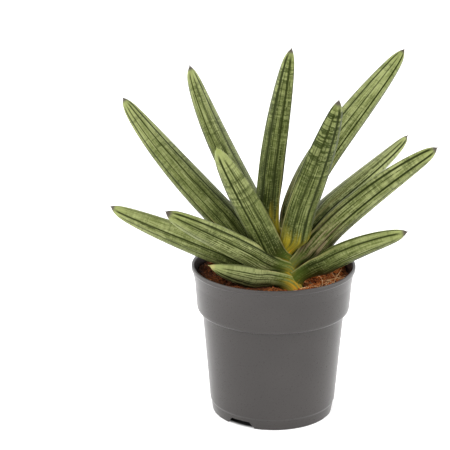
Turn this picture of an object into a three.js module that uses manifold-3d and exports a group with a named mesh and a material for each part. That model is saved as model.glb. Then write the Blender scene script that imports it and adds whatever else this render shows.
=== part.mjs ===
// A potted boncellensis snake plant: a rosette of twelve stout, pointed leaves whose bases
// clasp one short stem, standing in a grey plastic nursery pot filled with coir.
// Millimetres, +Z up, front towards -Y. The origin is the middle of the pot's foot, on the surface.

import * as THREE from "three";
import { mergeVertices } from "three/addons/utils/BufferGeometryUtils.js";
import Module from "manifold-3d";

const wasm = await Module();
wasm.setup();

// Clearance between touching solids
const GAP = 0.3;

// Pot: a 12 cm nursery pot
const POT_HEIGHT = 113;
const RIM_RADIUS = 60;
const WALL = 1.3;
const LIP_HEIGHT = 7;
const COLLAR_TOP_RADIUS = 57.4;
const COLLAR_FOOT_RADIUS = 56;
const COLLAR_FOOT_HEIGHT = 80;
const BODY_TOP_RADIUS = 51.6;
const BODY_TOP_HEIGHT = 72;
const BODY_FOOT_RADIUS = 46.2;
const BODY_FOOT_HEIGHT = 9;
const FOOT_RADIUS = 44.6;
const FOOT_RING = 2;
const FLOOR_HEIGHT = 6;
const POT_SIDES = 48;

// Cut-outs in the foot ring, as wide at the bottom and at the top as given here
const CUTOUTS = 3;
const CUTOUT_WIDE = 23;
const CUTOUT_NARROW = 15;
const CUTOUT_HEIGHT = 5;
const FIRST_CUTOUT_DEGREES = 237;

// Drainage holes in the floor
const DRAINS = 6;
const DRAIN_RADIUS = 5;
const DRAIN_CIRCLE = 33;
const DRAIN_SIDES = 12;

// Coir: its mean level, and how it sinks round the stem and rises towards the back
const COIR_LEVEL = 104;
const COIR_DIP = 5;
const COIR_DIP_RADIUS = 17;
const COIR_BACK_RISE = 0.03;
const COIR_LEFT_RISE = 0.02;
const COIR_BUMP = 0.9;

// Stem: a short stock that leans up and back from a place right of and before the pot's middle
const STEM_X = 16.5;
const STEM_Y = -14.5;
const STEM_BASE = 70;
const STEM_SOIL = 88;
const STEM_TOP = 141;
const STEM_RADIUS = 7;
const STEM_TOP_RADIUS = 2.6;
const STEM_FOOT_RADIUS = 5;
const STEM_SIDES = 20;
const LEAN_X = -0.24;
const LEAN_Y = 0.18;

// Sheaths: each leaf starts as a thin cup that clasps the stem, tilts over into a deep channel and then
// fills up. The tilting and rolling are the distances along the leaf that these take, and a leaf has opened
// after a few times its stem's radius.
const SHEATH_FLARE = 0.3;
const SHEATH_HEIGHT = 3;
const SHEATH_THICKNESS = 0.75;
const MARGIN_THICKNESS = 0.6;
const CLASP_DEGREES = 135;
const OPEN_DEGREES = 110;
const TILTING = 6;
const ROLLING = 22;
const OPENING_RADII = 5.2;

// Blades: a half-round back, a face that is hollow at the base and full further out
const BASE_DEPTH = 0.6;
const BACK_DEPTH = 0.46;
const FACE_BULGE = 0.2;
const FACE_HOLLOW = 0.3;
const BASE_WIDTH = 0.96;
const WIDEST = 0.36;
const TIP_RADIUS = 0.7;
const EDGE_THICKNESS = 1.2;
const GROOVE_DEPTH = 0.3;
const TIP_HANDLE = 0.45;

// Twelve leaves from the oldest and lowest to the youngest. The foot is the height at which the sheath starts,
// the azimuth runs from +X towards +Y, the reach is from the stem to the tip, and the height is the tip's.
// The rise is the tip's own in degrees, the spring is how far the blade keeps to its sheath's direction, the
// width is the blade's greatest, the roll in degrees turns its front margin up, and a smaller taper is blunter.
const LEAVES = {
  leaf_front_left_low: {
    foot: 95.5, azimuth: 196, reach: 64, height: 122, rise: 18, spring: 12, width: 22, roll: 30, taper: 0.7,
  },
  leaf_right_low: {
    foot: 99, azimuth: -10, reach: 83, height: 146, rise: 12, spring: 13, width: 21.5, roll: -35, taper: 0.45,
  },
  leaf_far_left: {
    foot: 101.8, azimuth: 170, reach: 134, height: 153, rise: 18, spring: 10, width: 26, roll: 35, taper: 0.45,
  },
  leaf_left_long: {
    foot: 104.6, azimuth: 153, reach: 138, height: 225, rise: 49, spring: 8, width: 26, roll: -12, taper: 0.45,
  },
  leaf_front_left: {
    foot: 107.4, azimuth: 203, reach: 96, height: 168, rise: 28, spring: 10, width: 22, roll: 35, taper: 0.4,
  },
  leaf_right: {
    foot: 110.3, azimuth: 3, reach: 106, height: 202, rise: 29, spring: 12, width: 23.5, roll: -48, taper: 0.4,
  },
  leaf_front_left_rising: {
    foot: 115, azimuth: 215, reach: 62, height: 213, rise: 58, spring: 14, width: 23, roll: 20, taper: 0.45,
  },
  leaf_back_right: {
    foot: 118, azimuth: 36, reach: 115, height: 194, rise: 31, spring: 26, width: 21, roll: -30, taper: 0.45,
  },
  leaf_front_right_rising: {
    foot: 121, azimuth: -46, reach: 50, height: 247, rise: 69, spring: 26, width: 24.5, roll: -5, taper: 0.5,
  },
  leaf_back_left_rising: {
    foot: 124, azimuth: 139, reach: 91, height: 249, rise: 66, spring: 3, width: 21, roll: 0, taper: 0.4,
  },
  leaf_right_long: {
    foot: 127, azimuth: 30, reach: 103, height: 263, rise: 45, spring: 44, width: 24, roll: 20, taper: 0.45,
  },
  leaf_centre: {
    foot: 131, azimuth: 212, reach: -7, height: 274, rise: 100, spring: 22, width: 21.5, roll: 0, taper: 0.45,
  },
};

const POINTS_ACROSS = 9;
const BASE_STATIONS = 9;
const BLADE_STATIONS = 11;

const POT_COLOR = 0x6b6866;
const COIR_COLOR = 0x6e3a1e;
const STEM_COLOR = 0xa8a060;
const LEAF_COLOR = 0x7d8f52;

const radians = THREE.MathUtils.degToRad;
const mix = THREE.MathUtils.lerp;
const smooth = (x) => THREE.MathUtils.smoothstep(x, 0, 1);
const UP = new THREE.Vector3(0, 0, 1);

// The stem's middle at a height
function stemAxis(height) {
  const above = Math.min(height, STEM_TOP) - STEM_SOIL;
  return new THREE.Vector3(STEM_X + LEAN_X * above, STEM_Y + LEAN_Y * above, height);
}

function stemRadius(height) {
  const along = THREE.MathUtils.clamp((height - STEM_SOIL) / (STEM_TOP - STEM_SOIL), 0, 1);
  return mix(STEM_RADIUS, STEM_TOP_RADIUS, along);
}

// A closed geometry as a solid, and back
function toSolid(geometry) {
  const bare = geometry.clone();
  bare.deleteAttribute("normal");
  bare.deleteAttribute("uv");
  const merged = mergeVertices(bare, 1e-4);
  const vertProperties = new Float32Array(merged.attributes.position.array);
  const triVerts = new Uint32Array(merged.index.array);
  return new wasm.Manifold(new wasm.Mesh({ numProp: 3, vertProperties, triVerts }));
}

function toGeometry(solid) {
  const mesh = solid.getMesh();
  const geometry = new THREE.BufferGeometry();
  geometry.setAttribute("position", new THREE.BufferAttribute(mesh.vertProperties, 3));
  geometry.setIndex(new THREE.BufferAttribute(mesh.triVerts, 1));
  return geometry;
}

// A body of revolution about Z, from [radius, height] pairs
function revolve(profile, sides) {
  const points = profile.map(([radius, height]) => new THREE.Vector2(radius, height));
  return new THREE.LatheGeometry(points, sides).rotateX(Math.PI / 2);
}

// The pot's outline: up the outside, over the lip
const POT_OUTSIDE = [
  [FOOT_RADIUS, 0],
  [FOOT_RADIUS + 0.8, BODY_FOOT_HEIGHT - 1.5],
  [BODY_FOOT_RADIUS, BODY_FOOT_HEIGHT],
  [BODY_TOP_RADIUS, BODY_TOP_HEIGHT],
  [COLLAR_FOOT_RADIUS - 0.9, COLLAR_FOOT_HEIGHT - 2.2],
  [COLLAR_FOOT_RADIUS, COLLAR_FOOT_HEIGHT],
  [COLLAR_TOP_RADIUS, POT_HEIGHT - LIP_HEIGHT - 3],
  [RIM_RADIUS - 0.5, POT_HEIGHT - LIP_HEIGHT + 1],
  [RIM_RADIUS, POT_HEIGHT - 3.5],
  [RIM_RADIUS - 0.3, POT_HEIGHT - 0.8],
  [RIM_RADIUS - 1.1, POT_HEIGHT],
];

// and down the inside, to the floor
const POT_INSIDE = [
  [RIM_RADIUS - 2, POT_HEIGHT - 0.6],
  [COLLAR_TOP_RADIUS - WALL, POT_HEIGHT - LIP_HEIGHT],
  [COLLAR_FOOT_RADIUS - WALL, COLLAR_FOOT_HEIGHT + 0.6],
  [BODY_TOP_RADIUS - WALL, BODY_TOP_HEIGHT + 0.6],
  [BODY_FOOT_RADIUS - WALL, BODY_FOOT_HEIGHT],
  [BODY_FOOT_RADIUS - WALL - 1.2, FLOOR_HEIGHT + WALL],
];

function makePot() {
  const profile = [
    [0, FLOOR_HEIGHT],
    [FOOT_RADIUS - FOOT_RING - 1, FLOOR_HEIGHT],
    [FOOT_RADIUS - FOOT_RING, 0],
    ...POT_OUTSIDE,
    ...POT_INSIDE,
    [0, FLOOR_HEIGHT + WALL],
  ];
  let pot = toSolid(revolve(profile, POT_SIDES));
  for (let i = 0; i < CUTOUTS; i++) {
    pot = pot.subtract(toSolid(cutoutTool(FIRST_CUTOUT_DEGREES + (360 / CUTOUTS) * i)));
  }
  for (let i = 0; i < DRAINS; i++) {
    const angle = radians((360 / DRAINS) * (i + 0.5));
    const tool = new THREE.CylinderGeometry(DRAIN_RADIUS, DRAIN_RADIUS, 4 * WALL, DRAIN_SIDES);
    tool.rotateX(Math.PI / 2);
    tool.translate(DRAIN_CIRCLE * Math.cos(angle), DRAIN_CIRCLE * Math.sin(angle), FLOOR_HEIGHT + WALL / 2);
    pot = pot.subtract(toSolid(tool));
  }
  return toGeometry(pot);
}

// A trapezoid that reaches through the foot ring at one place
function cutoutTool(degrees) {
  const depth = 12;
  const below = 1;
  const wide = CUTOUT_WIDE / 2 + ((CUTOUT_WIDE - CUTOUT_NARROW) / 2) * (below / CUTOUT_HEIGHT);
  const shape = new THREE.Shape([
    new THREE.Vector2(-wide, -below),
    new THREE.Vector2(wide, -below),
    new THREE.Vector2(CUTOUT_NARROW / 2, CUTOUT_HEIGHT),
    new THREE.Vector2(-CUTOUT_NARROW / 2, CUTOUT_HEIGHT),
  ]);
  const tool = new THREE.ExtrudeGeometry(shape, { depth, bevelEnabled: false });
  tool.rotateX(Math.PI / 2);
  tool.rotateZ(Math.PI / 2);
  tool.translate(FOOT_RADIUS - depth / 2, 0, 0);
  return tool.rotateZ(radians(degrees));
}

// How high the coir lies at a place
function coirLevel(x, y) {
  const root = stemAxis(STEM_SOIL);
  const away = Math.hypot(x - root.x, y - root.y);
  const dip = COIR_DIP * Math.exp(-((away / COIR_DIP_RADIUS) ** 2));
  const bumps = Math.sin(0.21 * x + 1.1) * Math.cos(0.17 * y - 0.4) + 0.6 * Math.sin(0.37 * x - 0.29 * y);
  return COIR_LEVEL - dip + COIR_BACK_RISE * y - COIR_LEFT_RISE * x + COIR_BUMP * bumps;
}

function makeSubstrate() {
  const top = COIR_LEVEL + 4;
  const wall = POT_INSIDE.slice(2).reverse();
  const side = wall.map(([radius, height], i) => [radius - GAP, height + (i === 0 ? GAP : 0)]);
  const topRadius = COLLAR_TOP_RADIUS - WALL - GAP - 0.3;
  const rings = [1, 0.86, 0.7, 0.54, 0.38, 0.22];
  const surface = rings.map((share) => [topRadius * share, top]);
  const floor = FLOOR_HEIGHT + WALL + GAP;
  const plug = revolve([[0, floor], ...side, ...surface, [0, top]], POT_SIDES);
  const place = plug.attributes.position;
  for (let i = 0; i < place.count; i++) {
    if (place.getZ(i) > top - 0.01) {
      place.setZ(i, coirLevel(place.getX(i), place.getY(i)));
    }
  }
  return plug;
}

function makeStem(spare) {
  const radius = (height) => stemRadius(height) + spare;
  const profile = [
    [0, STEM_BASE - spare],
    [STEM_FOOT_RADIUS + spare, STEM_BASE - spare],
    [radius(STEM_BASE), STEM_BASE + 3],
    [radius(STEM_SOIL), STEM_SOIL],
    [radius(STEM_TOP), STEM_TOP],
    [0, STEM_TOP + 1.5 + spare],
  ];
  const stem = revolve(profile, STEM_SIDES);
  const place = stem.attributes.position;
  for (let i = 0; i < place.count; i++) {
    const axis = stemAxis(Math.max(place.getZ(i), STEM_SOIL));
    place.setXYZ(i, place.getX(i) + axis.x, place.getY(i) + axis.y, place.getZ(i));
  }
  return stem;
}

// One leaf. Its middle line climbs the stem with the sheath, springs out of it, and runs on one curve to the tip.
class Leaf {
  constructor(name, sizes) {
    this.name = name;
    Object.assign(this, sizes);
    this.opening = OPENING_RADII * stemRadius(this.foot);
    const angle = radians(this.azimuth);
    this.outward = new THREE.Vector3(Math.cos(angle), Math.sin(angle), 0);
    this.across = new THREE.Vector3(-Math.sin(angle), Math.cos(angle), 0);
    const exit = this.foot + SHEATH_HEIGHT;
    const base = this.onStem(this.foot);
    const start = this.onStem(exit);
    this.climb = start.clone().sub(base).normalize();
    const tip = stemAxis(exit).setZ(this.height).addScaledVector(this.outward, this.reach);
    const tipWay = this.outward.clone().multiplyScalar(Math.cos(radians(this.rise)));
    tipWay.addScaledVector(UP, Math.sin(radians(this.rise)));
    const leave = start.clone().addScaledVector(this.climb, this.spring);
    const arrive = tip.clone().addScaledVector(tipWay, -TIP_HANDLE * start.distanceTo(tip));
    this.path = new THREE.CurvePath();
    this.path.add(new THREE.LineCurve3(base, start));
    this.path.add(new THREE.CubicBezierCurve3(start, leave, arrive, tip));
    this.climbed = base.distanceTo(start);
    this.total = this.path.getLength();
    this.tip = tip;
  }

  sheathRadius(height) {
    return stemRadius(this.foot) + GAP + SHEATH_FLARE * (height - this.foot);
  }

  onStem(height) {
    return stemAxis(height).addScaledVector(this.outward, this.sheathRadius(height));
  }

  // The share of the blade's length that lies below a distance along the leaf
  bladeShare(travel) {
    return THREE.MathUtils.clamp((travel - this.climbed) / (this.total - this.climbed), 0, 1);
  }

  bladeWidth(travel) {
    const share = this.bladeShare(travel);
    const fromTip = Math.min((1 - share) / (1 - WIDEST), 1);
    const towardsTip = Math.sin((Math.PI / 2) * fromTip) ** this.taper;
    const towardsBase = mix(BASE_WIDTH, 1, smooth(share / WIDEST));
    return Math.max(this.width * towardsTip * towardsBase, 2 * TIP_RADIUS);
  }

  // The closed outlines at one distance along the leaf: the back from margin to margin, then the face the
  // other way, as [across the leaf, towards its face]
  sheathOutline(travel) {
    const radius = this.sheathRadius(this.foot + Math.min(travel, this.climbed));
    const clasp = radians(mix(CLASP_DEGREES, OPEN_DEGREES, smooth((2 * travel) / this.opening)));
    const back = [];
    const face = [];
    for (let i = 0; i < POINTS_ACROSS; i++) {
      const side = -1 + (2 * i) / (POINTS_ACROSS - 1);
      const outside = radius + mix(SHEATH_THICKNESS, MARGIN_THICKNESS, side * side);
      back.push([outside * Math.sin(side * clasp), radius - outside * Math.cos(side * clasp)]);
      face.push([radius * Math.sin(side * clasp), radius - radius * Math.cos(side * clasp)]);
    }
    return [...back, ...face.reverse()];
  }

  bladeOutline(travel) {
    const width = this.bladeWidth(travel);
    const full = smooth(this.bladeShare(travel) / WIDEST);
    const depth = width * mix(BASE_DEPTH, BACK_DEPTH, full);
    const bulge = width * mix(-FACE_HOLLOW, FACE_BULGE, full);
    const edge = Math.min(EDGE_THICKNESS, width / 3) / 2;
    const back = [];
    const face = [];
    for (let i = 0; i < POINTS_ACROSS; i++) {
      const turn = (Math.PI / 2) * (-1 + (2 * i) / (POINTS_ACROSS - 1));
      const groove = i % 2 === 0 && i > 0 && i < POINTS_ACROSS - 1 ? Math.min(GROOVE_DEPTH, width / 40) : 0;
      const sideways = (width / 2) * Math.sin(turn);
      back.push([sideways, -depth * Math.cos(turn) - edge + groove]);
      face.push([sideways, bulge * Math.cos(turn) + edge - groove]);
    }
    return [...back, ...face.reverse()];
  }

  // The outline in space, grown by the spare: upright round the stem at first, square to the leaf further out
  section(travel, spare) {
    const middle = this.path.getPoint(travel / this.total);
    const along = this.path.getTangent(travel / this.total);
    const facing = UP.clone().lerp(along, smooth(travel / TILTING)).normalize();
    const inward = facing.clone().cross(this.across);
    const roll = radians(this.roll) * smooth((travel - this.climbed) / ROLLING);
    const across = this.across.clone().multiplyScalar(Math.cos(roll)).addScaledVector(inward, Math.sin(roll));
    const toFace = inward.clone().multiplyScalar(Math.cos(roll)).addScaledVector(this.across, -Math.sin(roll));
    const opened = smooth(travel / this.opening);
    const blade = this.bladeOutline(travel);
    const outline = this.sheathOutline(travel).map(([sideways, inwards], k) => {
      return [mix(sideways, blade[k][0], opened), mix(inwards, blade[k][1], opened)];
    });
    return grow(outline, spare).map(([sideways, inwards]) => {
      return middle.clone().addScaledVector(across, sideways).addScaledVector(toFace, inwards);
    });
  }
}

// An outline that runs anticlockwise, moved outwards by the spare on every side
function grow(outline, spare) {
  const count = outline.length;
  const normals = outline.map(([x, y], k) => {
    const [nextX, nextY] = outline[(k + 1) % count];
    const length = Math.hypot(nextX - x, nextY - y);
    return [(nextY - y) / length, (x - nextX) / length];
  });
  return outline.map(([x, y], k) => {
    const [beforeX, beforeY] = normals[(k + count - 1) % count];
    const [afterX, afterY] = normals[k];
    const reach = spare / Math.max(1 + beforeX * afterX + beforeY * afterY, 0.4);
    return [x + (beforeX + afterX) * reach, y + (beforeY + afterY) * reach];
  });
}

function makeLeaf(leaf, spare) {
  const sections = [];
  for (let i = 0; i <= BASE_STATIONS; i++) {
    sections.push(leaf.section(leaf.opening * (i / BASE_STATIONS) ** 1.3, spare));
  }
  for (let i = 1; i < BLADE_STATIONS; i++) {
    const share = Math.sin((Math.PI / 2) * (i / BLADE_STATIONS));
    sections.push(leaf.section(mix(leaf.opening, leaf.total, share), spare));
  }
  for (const point of sections[0]) {
    point.addScaledVector(leaf.climb, -spare);
  }
  return skin(sections, leaf.tip);
}

// A closed skin over a row of outlines: strips between them, a strip over the first, a point at the end
function skin(sections, tip) {
  const around = sections[0].length;
  const points = [...sections.flat(), tip];
  const triangles = [];
  for (let s = 0; s + 1 < sections.length; s++) {
    for (let k = 0; k < around; k++) {
      const a = s * around + k;
      const b = s * around + ((k + 1) % around);
      triangles.push(a, b, b + around, a, b + around, a + around);
    }
  }
  const lastRow = (sections.length - 1) * around;
  for (let k = 0; k < around; k++) {
    triangles.push(lastRow + k, lastRow + ((k + 1) % around), points.length - 1);
  }
  for (let k = 0; k + 1 < around / 2; k++) {
    const a = k;
    const b = k + 1;
    const c = around - 1 - k;
    const d = around - 2 - k;
    triangles.push(a, c, b, b, c, d);
  }
  const geometry = new THREE.BufferGeometry();
  geometry.setAttribute("position", new THREE.Float32BufferAttribute(points.flatMap((p) => [p.x, p.y, p.z]), 3));
  geometry.setIndex(triangles);
  return geometry;
}

// The coir has a plain hole for the stem and beds for the leaves that lie on it
function makeBeddedCoir() {
  let coir = toSolid(makeSubstrate()).subtract(toSolid(makeStem(GAP)));
  for (const leaf of leaves) {
    coir = coir.subtract(toSolid(makeLeaf(leaf, GAP)));
  }
  return toGeometry(largest(coir));
}

// A leaf is hollowed by the stem that it clasps and by the younger leaves that press on it
function makePressedLeaf(index) {
  let solid = toSolid(makeLeaf(leaves[index], 0)).subtract(toSolid(makeStem(GAP)));
  for (const younger of leaves.slice(index + 1)) {
    solid = solid.subtract(toSolid(makeLeaf(younger, GAP)));
  }
  return toGeometry(largest(solid));
}

// The largest body of a solid, without the crumbs that a cut leaves
function largest(solid) {
  return solid.decompose().sort((a, b) => b.volume() - a.volume())[0];
}

const plant = new THREE.Group();

function addNode(name, geometry, color, roughness) {
  geometry.computeVertexNormals();
  const mesh = new THREE.Mesh(geometry, new THREE.MeshStandardMaterial({ color, roughness, metalness: 0 }));
  mesh.name = name;
  plant.add(mesh);
}

const leaves = Object.entries(LEAVES).map(([name, sizes]) => new Leaf(name, sizes));
addNode("pot", makePot(), POT_COLOR, 0.55);
addNode("substrate", makeBeddedCoir(), COIR_COLOR, 1);
addNode("stem", makeStem(0), STEM_COLOR, 0.7);
leaves.forEach((leaf, index) => addNode(leaf.name, makePressedLeaf(index), LEAF_COLOR, 0.5));

export default plant;
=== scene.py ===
import math
import random

import bmesh
import bpy
import numpy as np
from mathutils import Matrix, Vector, noise
from mathutils.bvhtree import BVHTree


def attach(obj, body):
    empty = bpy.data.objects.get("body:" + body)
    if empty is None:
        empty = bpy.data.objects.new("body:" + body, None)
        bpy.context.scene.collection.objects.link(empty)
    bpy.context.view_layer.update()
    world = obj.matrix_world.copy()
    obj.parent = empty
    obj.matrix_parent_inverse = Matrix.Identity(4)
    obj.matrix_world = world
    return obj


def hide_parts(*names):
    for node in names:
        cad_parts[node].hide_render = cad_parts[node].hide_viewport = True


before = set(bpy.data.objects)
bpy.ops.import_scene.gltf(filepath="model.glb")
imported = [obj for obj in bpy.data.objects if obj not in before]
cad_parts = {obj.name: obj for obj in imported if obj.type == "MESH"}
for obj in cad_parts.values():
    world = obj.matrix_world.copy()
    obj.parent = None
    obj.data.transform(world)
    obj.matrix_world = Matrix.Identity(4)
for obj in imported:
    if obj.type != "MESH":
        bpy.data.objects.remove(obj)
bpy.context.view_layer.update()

MILLIMETRE = 0.001
GAP = 0.3
UP = np.array([0.0, 0.0, 1.0])

# Pot
POT_HEIGHT = 113
RIM_RADIUS = 60
WALL = 1.3
LIP_HEIGHT = 7
COLLAR_TOP_RADIUS = 57.4
COLLAR_FOOT_RADIUS = 56
COLLAR_FOOT_HEIGHT = 80
BODY_TOP_RADIUS = 51.6
BODY_TOP_HEIGHT = 72
BODY_FOOT_RADIUS = 46.2
BODY_FOOT_HEIGHT = 9
FOOT_RADIUS = 44.6
FOOT_RING = 2
FLOOR_HEIGHT = 6
POT_SIDES = 192
CUTOUTS = 3
CUTOUT_WIDE = 23
CUTOUT_NARROW = 15
CUTOUT_HEIGHT = 5
FIRST_CUTOUT_DEGREES = 237
DRAINS = 6
DRAIN_RADIUS = 5
DRAIN_CIRCLE = 33
DRAIN_SIDES = 32
CORNER_EASE = 0.6

# Coir: its level, its form, how finely it is made, and how far it stays under a leaf
COIR_LEVEL = 104
COIR_DIP = 5
COIR_DIP_RADIUS = 17
COIR_BACK_RISE = 0.03
COIR_LEFT_RISE = 0.02
COIR_BUMP = 0.9
CLUMP_HEIGHT = 1.1
LUMP_HEIGHT = 0.7
COIR_RINGS = 70
COIR_SIDES = 240
UNDER_LEAVES = 0.4

# The room under the leaves is felt for from this far below the coir's level, over this height
PROBE_BELOW = 12
PROBE_HEIGHT = 30

# What lies loose on the coir: how far out it lies, how many pieces, the least and the most that a piece
# measures, how much room it needs under a leaf, and a thread that stands up at the right
LITTER_REACH = 55.5
FIBRES = 1500
FIBRE_STEP = (0.8, 2.2)
FIBRE_RADIUS = (0.09, 0.2)
THREADS = 70
THREAD_STEP = (2.0, 4.0)
THREAD_RADIUS = (0.22, 0.36)
THREADS_ACROSS = (8, 52)
THREADS_BACK = (-48, 10)
FIBRE_POINTS = 7
LEAST_POINTS = 4
FIBRE_ROOM = 3
CRUMBS = 2200
CRUMB_SIZE = (0.3, 1.1)
CRUMB_ROOM = 2
LONE_THREAD = [(43, -17, 102), (44, -17, 106), (46, -17.5, 110), (48.5, -18.5, 115)]
LONE_THREAD_RADIUS = 0.36

# Stem
STEM_X = 16.5
STEM_Y = -14.5
STEM_SOIL = 88
STEM_TOP = 141
STEM_RADIUS = 7
STEM_TOP_RADIUS = 2.6
LEAN_X = -0.24
LEAN_Y = 0.18

# Sheaths
SHEATH_FLARE = 0.3
SHEATH_HEIGHT = 3
SHEATH_THICKNESS = 0.75
MARGIN_THICKNESS = 0.6
CLASP_DEGREES = 135
OPEN_DEGREES = 110
TILTING = 6
ROLLING = 22
OPENING_RADII = 5.2
SHEATH_SQUARENESS = 12

# Blades. The girth is in widths, the leaf laid out straight has a radius of one width over WIDTHS_PER_RADIUS,
# and a blade narrower than GROOVED_FROM has shallower grooves.
BASE_DEPTH = 0.6
BACK_DEPTH = 0.46
FACE_BULGE = 0.2
FACE_HOLLOW = 0.3
BASE_WIDTH = 0.96
WIDEST = 0.36
EDGE_THICKNESS = 1.2
TIP_HANDLE = 0.45
TIP_OGIVE = 3.2
TIP_LEAST = 0.8
OGIVE_POWER = 1.2
EDGE_POWER = 0.4
GIRTH = 2.6
WIDTHS_PER_RADIUS = 2.4
LINE_SPACING_DEGREES = 40
LINE_WANDER = 0.22
GROOVE_DEPTH = 0.22
GROOVE_WIDTH = 0.9
GROOVED_FROM = 8

# How finely a leaf is made, and how much its rows crowd towards its two ends
PATH_POINTS = 600
POINTS_AROUND = 96
ROWS = 150
ROW_EASING = 0.6

# The leaves from the oldest to the youngest: foot, azimuth, reach, tip height, rise at the tip, spring,
# width, the roll that turns the front margin up, and the taper (less is blunter)
LEAVES = {
    "leaf_front_left_low": (95.5, 196, 64, 122, 18, 12, 22, 30, 0.7),
    "leaf_right_low": (99, -10, 83, 146, 12, 13, 21.5, -35, 0.45),
    "leaf_far_left": (101.8, 170, 134, 153, 18, 10, 26, 35, 0.45),
    "leaf_left_long": (104.6, 153, 138, 225, 49, 8, 26, -12, 0.45),
    "leaf_front_left": (107.4, 203, 96, 168, 28, 10, 22, 35, 0.4),
    "leaf_right": (110.3, 3, 106, 202, 29, 12, 23.5, -48, 0.4),
    "leaf_front_left_rising": (115, 215, 62, 213, 58, 14, 23, 20, 0.45),
    "leaf_back_right": (118, 36, 115, 194, 31, 26, 21, -30, 0.45),
    "leaf_front_right_rising": (121, -46, 50, 247, 69, 26, 24.5, -5, 0.5),
    "leaf_back_left_rising": (124, 139, 91, 249, 66, 3, 21, 0, 0.4),
    "leaf_right_long": (127, 30, 103, 263, 45, 44, 24, 20, 0.45),
    "leaf_centre": (131, 212, -7, 274, 100, 22, 21.5, 0, 0.45),
}

# How each leaf looks: where its strongest line runs, in degrees round from the middle of its back, how strong
# its cross bands are, how dark it is, how much it pales towards the tip, and how yellow its base is
LOOKS = {
    "leaf_front_left_low": (75, 0.35, -2.2, 0.4, 0.24),
    "leaf_right_low": (-70, 0.45, 0.2, 0.7, 0.08),
    "leaf_far_left": (100, 0.3, 0.1, 0.75, 0.1),
    "leaf_left_long": (160, 0.45, 0.3, 0.75, 0.1),
    "leaf_front_left": (80, 0.35, -1.6, -0.1, 0.1),
    "leaf_right": (-80, 0.5, -0.6, 0.5, 0.1),
    "leaf_front_left_rising": (20, 0.75, 0.55, 0.9, 0.1),
    "leaf_back_right": (-140, 0.35, -0.7, 0.7, 0.05),
    "leaf_front_right_rising": (-10, 1.0, -0.3, 0.0, 0.7),
    "leaf_back_left_rising": (150, 0.5, 0.4, 0.8, 0.05),
    "leaf_right_long": (-160, 0.4, -0.5, 0.4, 0.2),
    "leaf_centre": (20, 0.8, 0.65, 0.65, 0.75),
}

# How many thin lines there are from one main line to the next
THIN_LINES = 5

# Leaf colours: the ground from dark to pale, the markings on it, the foot, the margin and the point
DEEP = (0.022, 0.031, 0.005)
SAGE = (0.105, 0.124, 0.036)
PALE = (0.255, 0.28, 0.115)
TIP_GREEN = (0.205, 0.235, 0.075)
BAND = (0.026, 0.036, 0.007)
LINE = (0.010, 0.015, 0.001)
ROSY = (0.20, 0.135, 0.085)
SHEATH = (0.10, 0.15, 0.02)
YELLOW = (0.42, 0.33, 0.022)
ORANGE = (0.78, 0.36, 0.02)
MARGIN = (0.36, 0.33, 0.13)
POINT = (0.060, 0.050, 0.042)
ROSY_LEAVES = ("leaf_right", "leaf_right_long")
PALE_POINTS = {"leaf_front_left_low": MARGIN, "leaf_front_left_rising": TIP_GREEN}

# Where these fade in or out, in millimetres: the first two from the tip, the others from the leaf's foot
GREEN_TIP = (26, 4)
POINT_LENGTH = (5.6, 2.6)
SHEATH_LENGTH = (22, 5)
ROSY_LENGTH = (66, 20)

# Where shade is painted on the pot's inner wall and on the coir, in metres. The middle of the pot's wall
# above the coir is a radius that starts from WALL_START and grows with the height, and the painted shade is
# on the inner side of it.
WALL_START = 0.0376
WALL_SLOPE = 0.19
PAINTED_SHADE_FROM = (0.0995, 0.1005)
PAINTED_SHADE_UP_TO = (0.1136, 0.1124)
PAINTED_SHADE_LEFT_FADE = (-0.03, 0.035)
PAINTED_SHADE_NEAR_WALL = (0.0485, 0.0555)

# The other colours, each from its darker to its paler tone
POT_GREYS = (0.034, 0.0305, 0.029), (0.040, 0.0358, 0.034)
# Painted shade on the pot's inner wall above the coir
INNER_WALL_PAINTED_SHADE = (0.006, 0.003, 0.002)
PLUG_BROWNS = (0.070, 0.019, 0.005), (0.58, 0.150, 0.026)
FIBRE_BROWNS = (0.24, 0.07, 0.017), (0.70, 0.28, 0.08)
THREAD_BROWNS = (0.55, 0.27, 0.10), (0.95, 0.62, 0.32)
CRUMB_BROWNS = (0.065, 0.018, 0.005), (0.52, 0.135, 0.025)
STEM_GREENS = (0.20, 0.22, 0.05), (0.42, 0.36, 0.10)
FLOOR_WHITES = (0.90, 0.90, 0.90), (0.93, 0.93, 0.93)
# The colour of the floor's painted shadow under the pot's foot
FLOOR_PAINTED_SHADOW = (0.02, 0.02, 0.02)

# Studio, in metres: a world that is brighter at the sides, one soft lamp, a floor with a painted shadow under
# the foot
WORLD_FRONT = 0.38
WORLD_BACK = 1.1
WORLD_SIDES = 2.5
LAMP_PLACE = (-0.25, -0.9, 1.3)
LAMP_TARGET = (0, 0, 0.15)
LAMP_SIZE = (1.4, 1.2)
LAMP_WATTS = 13
FLOOR_SIZE = 6
PAINTED_SHADOW_UNDER_FOOT = (0.040, 0.0445)

# Camera, in metres: from the front and a little above. The turn is up from looking straight down.
CAMERA_PLACE = (-0.0354, -1.1882, 0.5306)
CAMERA_TURN_DEGREES = 71.9
CAMERA_LENS = 138
CAMERA_SENSOR = 36


def smooth(x):
    """0 to 1 with a soft start and end."""
    x = np.clip(x, 0, 1)
    return x * x * (3 - 2 * x)


def mix(a, b, share):
    return a + (b - a) * share


def degrees_apart(a, b):
    """How far a is from b round a circle, from -180 up to 180."""
    return (a - b + 180) % 360 - 180


def turns(count):
    """Angles that go once round in equal steps."""
    return [2 * math.pi * k / count for k in range(count)]


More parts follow.
